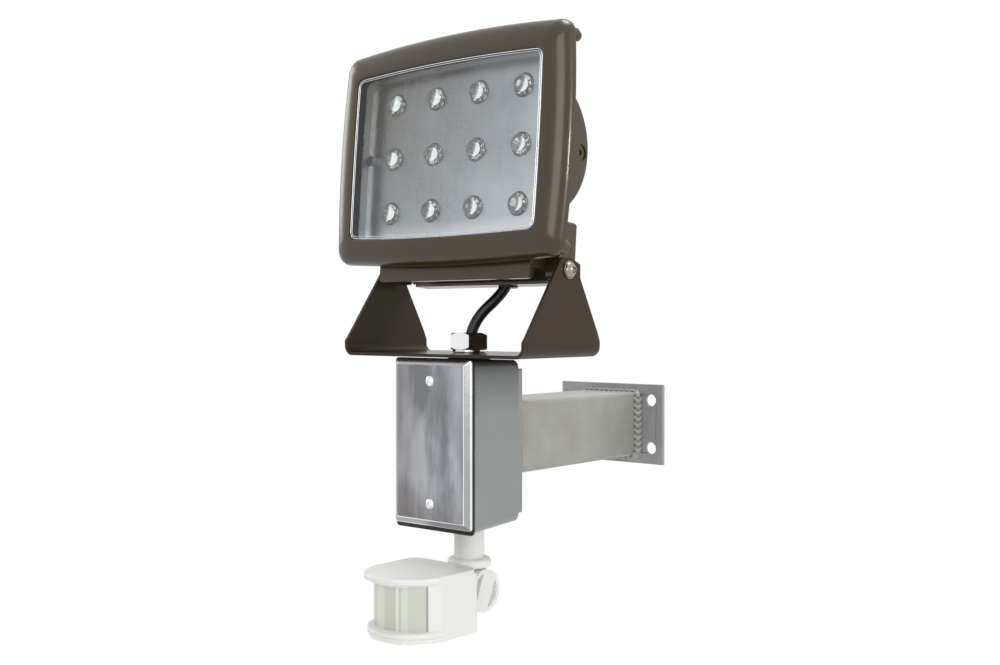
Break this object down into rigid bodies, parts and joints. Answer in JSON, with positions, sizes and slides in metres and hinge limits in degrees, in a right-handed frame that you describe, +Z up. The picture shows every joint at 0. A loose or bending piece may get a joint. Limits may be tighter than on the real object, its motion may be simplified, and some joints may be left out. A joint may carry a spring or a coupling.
{
  "type": "motion sensor security light",
  "caption": "Bronze LED floodlight tilting in a U yoke on a grey junction box with a steel cover, on a square wall arm, with a white motion sensor on a stem below.",
  "frame": {"origin": "centre of the wall flange's back face, at the middle of its four bolt holes", "axes": "+Z up, +Y into the wall so the light stands out towards -Y, +X to the right for someone facing the wall"},
  "size_m": [0.2098, 0.269, 0.4061],
  "materials": {
    "flange_metal": "cut plate, matte grey with light wear",
    "arm_metal": "mill finish, matte, with ripples in the weld beads",
    "box_grey": "die-cast box, satin grey enamel",
    "zinc_steel": "zinc plated",
    "ground_green": "green dyed steel",
    "gasket_rubber": "black closed-cell foam or moulded rubber",
    "mirror_steel": "stainless sheet, bright and slightly blotched",
    "wire_insulation": "wire insulation",
    "connector_plastic": "clear-grey connector case",
    "bright_plating": "bright nickel plate",
    "washer_nylon": "black sealing washer",
    "bronze_coat": "dark bronze powder coat, satin",
    "cover_bronze": "dark bronze powder coat on flat plate",
    "black_screw": "blackened",
    "cable_jacket": "black rubber jacket, semi-gloss",
    "clear_glass": "clear tempered glass",
    "reflector_metal": "bright rolled sheet, faintly grained",
    "board_white": "white solder mask",
    "chip_yellow": "yellow phosphor",
    "dome_clear": "clear moulded optic",
    "plate_aluminium": "machined plate",
    "driver_case": "potted case",
    "sensor_white": "white moulded plastic, satin",
    "sensor_window": "milky lens film",
    "board_green": "circuit board",
    "element_steel": "metal can",
    "adjuster_plastic": "adjuster case",
    "dial_plastic": "grey moulded plastic"
  },
  "bodies": {
    "bracket_box": {"wall_flange": "flange_metal", "flange_weld": "arm_metal", "arm_tube": "arm_metal", "plate_weld": "arm_metal", "mounting_plate": "arm_metal", "outlet_box": "box_grey", "box_screws": "zinc_steel", "ground_screw": "ground_green", "cover_gasket": "gasket_rubber", "cover_plate": "mirror_steel", "cover_screws": "mirror_steel", "splice_wires": "wire_insulation", "terminal_block": "connector_plastic", "gland_body": "bright_plating", "gland_nut": "bright_plating", "gland_seal": "gasket_rubber", "gland_locknut": "zinc_steel", "yoke_washer": "washer_nylon", "sensor_stem": "sensor_white", "sensor_locknut": "sensor_white"},
    "yoke": {"yoke_bracket": "bronze_coat", "pivot_washers": "bright_plating", "head_cable": "cable_jacket"},
    "head": {"rear_housing": "bronze_coat", "front_frame": "bronze_coat", "frame_screws": "black_screw", "lens_glass": "clear_glass", "lens_gasket": "gasket_rubber", "reflector_tray": "reflector_metal", "tray_screws": "reflector_metal", "led_board": "board_white", "led_chips": "chip_yellow", "led_lenses": "dome_clear", "led_mount_plate": "plate_aluminium", "led_driver": "driver_case", "wiring_cover": "cover_bronze", "wiring_cover_screws": "black_screw", "cable_bushing": "black_screw", "pivot_bolts": "bright_plating"},
    "sensor_swivel": {"swivel_neck": "sensor_white", "clamp_nut": "zinc_steel"},
    "knob": {"clamp_knob": "sensor_white"},
    "sensor_head": {"sensor_body": "sensor_white", "sensor_hood": "sensor_white", "sensor_lens": "sensor_window", "sensor_bottom_cover": "sensor_white", "sensor_board": "board_green", "infrared_element": "element_steel", "adjuster_bodies": "adjuster_plastic"},
    "range_adjuster": {"range_dial": "dial_plastic"},
    "time_adjuster": {"time_dial": "dial_plastic"}
  },
  "joints": [
    {"name": "yoke_pan", "type": "hinge", "parent": "bracket_box", "child": "yoke", "pos_m": [0, -0.179, 0.059], "axis": [0, 0, 1], "range_deg": [-90, 90]},
    {"name": "head_tilt", "type": "hinge", "parent": "yoke", "child": "head", "pos_m": [0, -0.173, 0.116], "axis": [1, 0, 0], "range_deg": [-60, 30], "deforming": ["head_cable"]},
    {"name": "sensor_pan", "type": "hinge", "parent": "bracket_box", "child": "sensor_swivel", "pos_m": [0, -0.179, -0.0866], "axis": [0, 0, 1], "range_deg": [-90, 90]},
    {"name": "sensor_tilt", "type": "hinge", "parent": "sensor_swivel", "child": "sensor_head", "pos_m": [0, -0.179, -0.1052], "axis": [1, 0, 0], "range_deg": [-15, 60]},
    {"name": "knob_turn", "type": "hinge", "parent": "sensor_swivel", "child": "knob", "pos_m": [0.01, -0.179, -0.1052], "axis": [1, 0, 0], "continuous": true},
    {"name": "range_turn", "type": "hinge", "parent": "sensor_head", "child": "range_adjuster", "pos_m": [-0.012, -0.225, -0.125], "axis": [0, 0, 1], "range_deg": [-135, 135]},
    {"name": "time_turn", "type": "hinge", "parent": "sensor_head", "child": "time_adjuster", "pos_m": [0.012, -0.225, -0.125], "axis": [0, 0, 1], "range_deg": [-135, 135]}
  ]
}
